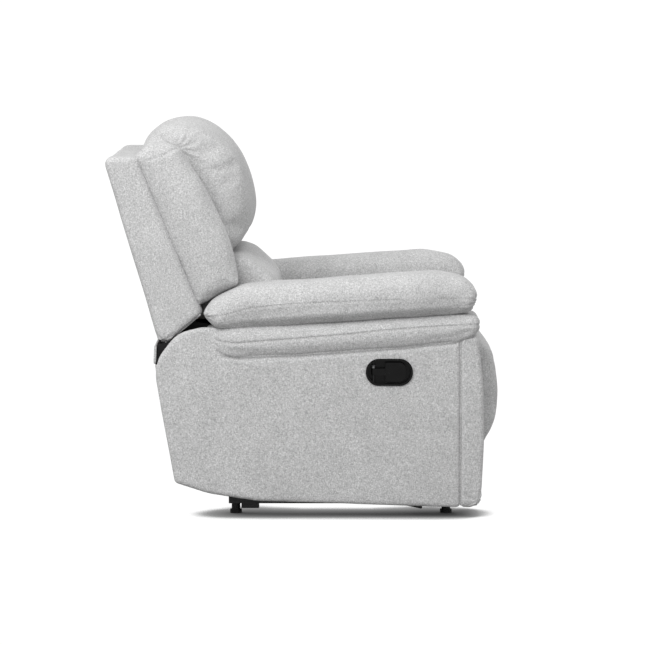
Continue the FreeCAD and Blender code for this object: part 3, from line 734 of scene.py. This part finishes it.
REAR_HALF = 411
REAR = [(-375, 385, 3), (-367, 385, 3), (-351, 274, 200), (-318, 88, 3), (-326, 88, 3),
        (-360, 274, 200)]
FLAP_HALF = 409
FLAP = [(-379, 384, 3), (-372, 384, 3), (-370, 433, 3), (-377, 433, 3)]
GUSSET_X = (400, 402.5)
GUSSET = [(-376, 384, 2), (-376, 430, 6), (-362, 434, 4), (-332, 446, 6), (-318, 430, 6),
          (-336, 384, 2)]

SEAM_FORWARD = 396.0          # upright seam between a side panel and its arm front
HOLE_HALF = (57.0, 32.0)      # half the length and height of the hole for the handle cup


# ---- Upholstery: softness ----------------------------------------------------------------------------
def firm_rear(forward, up):
    """Softness of the seat cushion, whose rear end lies square under the lumbar pillow."""
    return 0.25 + 0.75 * np.clip((forward + 100.0) / 60.0, 0, 1)


def firm_base(forward, up):
    """Softness of the lumbar pillow, which is square at its bottom and where the head pillow rests."""
    free = front_only((-280, 500), (-345, 662), 0.2)(forward, up)
    low = np.clip((up - 495.0) / 40.0, 0.15, 1)
    high = np.where(forward < -150, np.clip((655.0 - up) / 30.0, 0.35, 1), 1)
    return free * low * high


def full_below(forward, up):
    """Softness of the upper pad, whose side stays upright until it turns under near its bottom."""
    middle = np.interp(forward, [p[0] for p in UPPER_SPINE], [p[1] for p in UPPER_SPINE])
    return np.where(up < middle, 0.55, 1.0)


def front_only(corner_low, corner_high, rear_share):
    """A softness that is 1 in front of a line through two (forward, up) points and less behind it."""
    def soft(forward, up):
        line = corner_low[0] + (corner_high[0] - corner_low[0]) * (up - corner_low[1]) / (
            corner_high[1] - corner_low[1])
        return rear_share + (1 - rear_share) * np.clip((forward - line) / 30.0, 0, 1)
    return soft


# ---- Upholstery: pads, pillows and cushions ----------------------------------------------------------
upper_pad = block("upper_arm_pad", UPPER_PAD, *UPPER_PAD_X, UPPER_SPINE, (44, 36), (44, 40), FABRIC,
                  shrink=3.0, soft=full_below)
remesh(upper_pad, VOXEL)
to_inflate(upper_pad, 4.0, 6.0, near(UPPER_SEAM, 3.0, 0.3))

lower_pad = block("lower_arm_pad", LOWER_PAD, *LOWER_PAD_X, LOWER_SPINE, (14, 12), (18, 17), FABRIC,
                  shrink=1.0)
remesh(lower_pad, VOXEL)
to_inflate(lower_pad, 3.0, 5.0, near(LOWER_SEAM, 6.0))

bolster = block("bolster", BOLSTER, *BOLSTER_X, BOLSTER_SPINE, (16, 10), (14, 12), FABRIC, shrink=1.0,
                soft=front_only((-262, 530), (-422, 910), 0.15))
remesh(bolster, VOXEL)
crown(bolster, BOLSTER, 20.0, 52.0)
to_inflate(bolster, 3.5, 6.0, near([(-258, 520), (-418, 912)], 10.0))

slab = block("back_side", SLAB, *SLAB_X, SLAB_SPINE, (2, 2), (24, 21), FABRIC,
             soft=front_only((-285, 480), (-440, 900), 0.45))
remesh(slab, VOXEL, 3)

head = block("head_pillow", HEAD, -HEAD_HALF, HEAD_HALF, HEAD_SPINE, (62, 40), (62, 40), FABRIC,
             shrink=3.0, sag=16.0, soft=front_only((-300, 650), (-440, 1000), 0.2))
remesh(head, PILLOW_VOXEL)
to_inflate(head, 3.5, 12.0, near([(-361, 680), (-428, 896)], 12.0))

lumbar = block("lumbar_pillow", LUMBAR, -LUMBAR_HALF, LUMBAR_HALF, LUMBAR_SPINE, (24, 17), (24, 17),
               FABRIC, shrink=2.0, sag=5.0, soft=firm_base)
remesh(lumbar, PILLOW_VOXEL)
to_inflate(lumbar, 3.0, 9.0, near([(-290, 490), (-345, 662)], 12.0))

seat = block("seat_cushion", SEAT, -SEAT_HALF, SEAT_HALF, SEAT_SPINE, (26, 18), (26, 18), FABRIC,
             shrink=1.0, sag=5.0, soft=firm_rear)
remesh(seat, PILLOW_VOXEL)
to_inflate(seat, 3.0, 8.0, near(SEAT_SEAM, 6.0))

foot_pad = block("footrest_pad", FOOT_PAD, -FOOT_PAD_HALF, FOOT_PAD_HALF, [(440, 190), (440, 395)],
                 (22, 15), (22, 15), FABRIC, shrink=1.0, sag=4.0)
remesh(foot_pad, PILLOW_VOXEL)
to_inflate(foot_pad, 2.5, 6.0, near(FOOT_SEAM, 6.0))

# ---- Upholstery: flat panels and linings -------------------------------------------------------------
side = remesh(block("side_panel", SIDE, *SIDE_X, SIDE_SPINE, (2, 2), (5, 5), FABRIC), VOXEL, 2)
arm_front = remesh(block("arm_front", ARM_FRONT, *ARM_FRONT_X, [(420, 60), (420, 420)], (9, 8),
                         (7, 6), FABRIC), 5.0, 2)
inner = remesh(block("inner_arm_panel", INNER, *INNER_X, [(-200, 366), (360, 380)], (5, 5), (1, 1),
                     FABRIC), 5.0, 2)
rear = remesh(block("rear_base_panel", REAR, -REAR_HALF, REAR_HALF,
                    [(-322, 100), (-355, 274), (-371, 375)], (3, 2), (3, 2), FABRIC, step=5.0), 3.5, 1)
flap = remesh(block("rear_flap", FLAP, -FLAP_HALF, FLAP_HALF, [(-374, 390), (-369, 428)], (3, 2),
                    (3, 2), FABRIC, step=4.0), 3.0, 1)
back_panel = remesh(block("back_outer_panel", BACK_PANEL, -BACK_PANEL_HALF, BACK_PANEL_HALF,
                          BACK_PANEL_SPINE, (4, 3), (4, 3), FABRIC), VOXEL, 2)
cover = remesh(block("lower_back_cover", COVER, -COVER_HALF, COVER_HALF, [(-300, 400), (-270, 440)],
                     (10, 8), (10, 8), BLACK_CLOTH), PILLOW_VOXEL, 4)

# Thin linings hide the boards once the footrest is out, and black gussets close the gap beside the back;
# their black cloth is partly the gussets' own colour and partly painted shade that keeps the gap dark
band = block("seat_front_band", SEAT_BAND, -SEAT_BAND_HALF, SEAT_BAND_HALF,
             [(390.75, 345), (390.75, 392)], (1, 0.8), (1, 0.8), FABRIC, step=2.5)
lining = block("arm_lining_left", ARM_LINING, *ARM_LINING_X, [(-150, 200), (340, 200)], (0.8, 0.8),
               (0.8, 0.8), FABRIC, step=6.0)
back_cloth = block("footrest_back_cloth", FOOT_CLOTH, -FOOT_CLOTH_HALF, FOOT_CLOTH_HALF,
                   [(409, 172), (409, 415)], (1, 1), (1, 1), BLACK_CLOTH, step=4.0)
# The gussets' black cloth also stands in for the shade deep in the gap beside the back
gusset = block("back_gusset_left", GUSSET, *GUSSET_X, [(-350, 400), (-350, 420)], (0.8, 0.8),
               (0.8, 0.8), BLACK_CLOTH, step=3.0)

# ---- Upholstery: filling, seams and folds ------------------------------------------------------------
run_cloth()
for obj, low, high in ((upper_pad, 286.5, 471), (lower_pad, 286.5, 463), (bolster, 286.5, 400),
                       (head, -285, 285), (lumbar, -284, 284), (seat, -284.5, 284.5),
                       (foot_pad, -281.5, 281.5)):
    keep_within(obj, low, high)


def melt_rear_end(pad, start=165.0, length=85.0, flush_from=420.0, share=0.34):
    """Draws a lower pad's outer side in towards its rear end, where it melts into the side panel."""
    co = coords(pad)
    rearward = np.clip((co[:, 1] / MM - start) / length, 0, 1)
    rearward = rearward * rearward * (3 - 2 * rearward)
    outer = np.maximum(co[:, 0] / MM - flush_from, 0)
    co[:, 0] -= outer * share * rearward * MM
    set_coords(pad, co)


melt_rear_end(lower_pad)
for n, (obj, size, amount) in enumerate(((upper_pad, 0.09, 2.2), (lower_pad, 0.08, 1.2),
                                         (bolster, 0.08, 2.4), (slab, 0.12, 1.4), (head, 0.12, 3.6),
                                         (lumbar, 0.1, 2.6), (seat, 0.12, 3.0), (foot_pad, 0.11, 2.0),
                                         (side, 0.16, 1.6), (arm_front, 0.12, 1.2), (rear, 0.2, 1.0),
                                         (back_panel, 0.15, 1.8), (cover, 0.05, 3.0))):
    uneven(obj, size, amount, n + 1)

for obj in (upper_pad, lower_pad, bolster, slab, head, lumbar, seat, foot_pad, side, arm_front,
            cover):
    smooth_shade(obj, 1)
for obj in (inner, rear, flap, back_panel):
    smooth_shade(obj, 0)

groove(upper_pad, UPPER_SEAM, 3.0, 0.9)
groove(lower_pad, LOWER_SEAM, 3.0, 2.2)
groove(side, PAD_FOOT, 4.5, 5.0, 425)
groove(seat, SEAT_SEAM, 3.5, 2.5)
groove(foot_pad, FOOT_SEAM, 3.5, 2.5)
groove(bolster, BOLSTER_TOP_SEAM, 3.5, 2.6, 340)
for obj, centre, reach, count, depth in ((upper_pad, (455, -246, 512), 24, 9, 1.8),
                                         (upper_pad, (440, 445, 540), 46, 14, 1.5),
                                         (bolster, (385, -250, 537), 26, 10, 1.4),
                                         (head, (280, -318, 925), 62, 11, 2.4),
                                         (head, (-280, -318, 925), 62, 11, 2.4),
                                         (slab, (392, -352, 445), 24, 9, 1.8),
                                         (arm_front, (446, 440, 40), 34, 9, 1.2),
                                         (lower_pad, (450, -236, 455), 26, 7, 1.0)):
    gathers(obj, centre, reach, count, depth)

# Cord in the seam between the side panel and the arm front, hem under the back's side, and threads
SEAM_X, HEM_X = 443.5, 384.0
HEM = [(-360, 442.5), (-341, 442.5), (-299, 476), (-260, 509)]
welt = tube_mesh("side_seam_left", resample([(SEAM_X * MM, -SEAM_FORWARD * MM, up)
                                             for up in (0.03, 0.452)], 0.02), 0.0018, FABRIC)
hem = tube_mesh("back_hem_left", resample([(HEM_X * MM, -f * MM, u * MM) for f, u in HEM], 0.01),
                0.0026, FABRIC)
lower_thread = stitches("lower_pad_stitches_left", lower_pad,
                        [(0.455, -f * MM, (u + 3.2) * MM) for f, u in LOWER_SEAM[2:-1]], (-1, 0, 0))
upper_thread = stitches("upper_pad_stitches_left", upper_pad,
                        [(0.46, -f * MM, (u + 3.4) * MM) for f, u in UPPER_SEAM[1:7]], (-1, 0, 0))


def cut_cup_hole(panel):
    """Cuts the opening for the handle cup through the right side panel."""
    low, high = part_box("handle_cup")
    forward, up = -(low[1] + high[1]) / 2 / MM, (low[2] + high[2]) / 2 / MM
    half_length, half_height = HOLE_HALF
    corners = [(forward + a * half_length, up + b * half_height, half_height - 0.1)
               for a, b in ((-1, -1), (1, -1), (1, 1), (-1, 1))]
    cutter = block("cup_cutter", corners, -460, -400, [(forward - 25, up), (forward + 25, up)], (1, 0),
                   (1, 0), FABRIC, step=3.0)
    hole = panel.modifiers.new("Hole", "BOOLEAN")
    hole.operation = "DIFFERENCE"
    hole.solver = "EXACT"
    hole.object = cutter
    apply_modifiers(panel)
    bpy.data.objects.remove(cutter)
    panel.data.polygons.foreach_set("use_smooth", [True] * len(panel.data.polygons))


side_right = mirror_of(side, "side_panel_right_cover")
cut_cup_hole(side_right)
side.name = "side_panel_left_cover"


# ---- Upholstery: what each piece stands for and moves with -------------------------------------------
def upholster(piece, node, body):
    """Hides the CAD part that a soft piece stands for, if any, and attaches the piece to the body it moves
    with.
    """
    if node:
        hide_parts(node)
    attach(piece, body)


upholster(side, "side_panel_left", "base")
upholster(side_right, "side_panel_right", "base")
for obj, node, body, fill in ((upper_pad, "upper_arm_pad", "base", 0.8),
                              (lower_pad, "lower_arm_pad", "base", 0.8),
                              (arm_front, "arm_front", "base", None),
                              (inner, "inner_arm_panel", "base", None),
                              (slab, "back_side", "back", None), (bolster, "bolster", "back", 0.7)):
    twin = mirror_of(obj, node + "_right_cover")
    obj.name = node + "_left_cover"
    upholster(obj, node + "_left", body)
    upholster(twin, node + "_right", body)
for obj, body in ((welt, "base"), (hem, "back"), (lower_thread, "base"), (upper_thread, "base"),
                  (lining, "base")):
    twin = mirror_of(obj, obj.name.replace("_left", "_right"))
    upholster(obj, None, body)
    upholster(twin, None, body)
for obj, node, body, fill, slot in ((head, "head_pillow", "back", 0.65, "grey_fabric"),
                                    (lumbar, "lumbar_pillow", "back", 0.65, "grey_fabric"),
                                    (seat, "seat_cushion", "seat", 0.85, "grey_fabric"),
                                    (foot_pad, "footrest_pad", "footrest", 0.85, "grey_fabric"),
                                    (rear, "rear_base_panel", "base", None, "grey_fabric"),
                                    (back_panel, "back_outer_panel", "back", None, "grey_fabric"),
                                    (cover, "lower_back_cover", "back", None, "black_fabric")):
    obj.name = node + "_cover"
    upholster(obj, node, body)

# The flap and the gussets sit behind the base and move with it, each with a mesh of its own
upholster(flap, None, "base")
upholster(band, None, "seat")
gusset_right = mirror_of(gusset, "back_gusset_right")
for obj in (gusset, gusset_right):
    upholster(obj, None, "base")
    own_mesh(obj)
upholster(back_cloth, None, "footrest")
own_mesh(flap)

# ---- Floor, lights and camera ----------------------------------------------------------------------
# The white paper is a glowing emission surface with a soft contact shadow painted on it: an ambient
# occlusion node darkens it close under the object, whatever the lamps do
paper = Nodes("studio_paper_painted_shadow")
contact = paper.tree.nodes.new("ShaderNodeAmbientOcclusion")
contact.inputs["Distance"].default_value = 0.13
contact.samples = 32
painted_contact_shadow = paper.ramp(contact.outputs["AO"], [(0.1, (0.03, 0.03, 0.03, 1)), (0.55, (0.3, 0.3, 0.3, 1)),
                                         (0.72, (1, 1, 1, 1))])
# Painted shadow: the occlusion ramp sets the floor's glow, dark under the object and white elsewhere
paper.link(painted_contact_shadow, paper.shader.inputs["Emission Color"])
PAPER_PAINTED_SHADOW = paper.finish((0, 0, 0, 1), None, 0.9, Emission_Strength=1.05, Specular_IOR_Level=0.0)
table = Nodes("studio_table")
dull = table.ramp(table.noise(table.mapped(), 3.0, 2.0, 0.5),
                  [(0.3, (0.36, 0.36, 0.36, 1)), (0.7, (0.4, 0.4, 0.4, 1))])
GREY = table.finish(dull, None, 0.9)


def studio_plane(name, height, material):
    bpy.ops.mesh.primitive_plane_add(size=600, location=(0, 0, height))
    plane = bpy.context.object
    plane.name = name
    plane.data.materials.append(material)
    return plane


# The white floor is what the camera sees, and the grey one below it is what lights the object
floor = studio_plane("studio_floor", -0.0006, PAPER_PAINTED_SHADOW)
floor.visible_diffuse = False
floor.visible_glossy = False
bounce = studio_plane("studio_bounce", -0.0016, GREY)
bounce.visible_camera = False
bounce.visible_shadow = False

world = bpy.data.worlds.new("studio")
bpy.context.scene.world = world
world.use_nodes = True
world.node_tree.nodes["Background"].inputs["Color"].default_value = (1, 1, 1, 1)
world.node_tree.nodes["Background"].inputs["Strength"].default_value = 1.02


def area_light(name, place, target, size, power):
    data = bpy.data.lights.new(name, "AREA")
    data.shape = "RECTANGLE"
    data.size = size[0]
    data.size_y = size[1]
    data.energy = power
    lamp = bpy.data.objects.new(name, data)
    bpy.context.scene.collection.objects.link(lamp)
    lamp.location = place
    lamp.rotation_euler = (Vector(target) - Vector(place)).to_track_quat("-Z", "Y").to_euler()
    lamp.visible_camera = False
    return lamp


key = area_light("key", (-2.3, 1.05, 2.2), (-0.3, 0.1, 0.8), (1.7, 1.3), 50.0)
# The key light leaves the floor alone, so the object throws no long shadow
unlit = bpy.data.collections.new("key_skips_floor")
unlit.objects.link(floor)
unlit.collection_objects[0].light_linking.link_state = "EXCLUDE"
key.light_linking.receiver_collection = unlit

CAMERA_PLACE = (-8.96, -0.0485, 1.29)
CAMERA_PITCH = math.radians(5.34)
camera_data = bpy.data.cameras.new("camera")
camera_data.sensor_width = 36.0
camera_data.lens = 190.0
camera_data.clip_end = 1000.0
camera = bpy.data.objects.new("camera", camera_data)
bpy.context.scene.collection.objects.link(camera)
camera.location = CAMERA_PLACE
aim = Vector((math.cos(CAMERA_PITCH), 0.0, -math.sin(CAMERA_PITCH)))
camera.rotation_euler = aim.to_track_quat("-Z", "Y").to_euler()
bpy.context.scene.camera = camera
bpy.context.scene.view_settings.view_transform = "Standard"
bpy.context.scene.view_settings.look = "None"
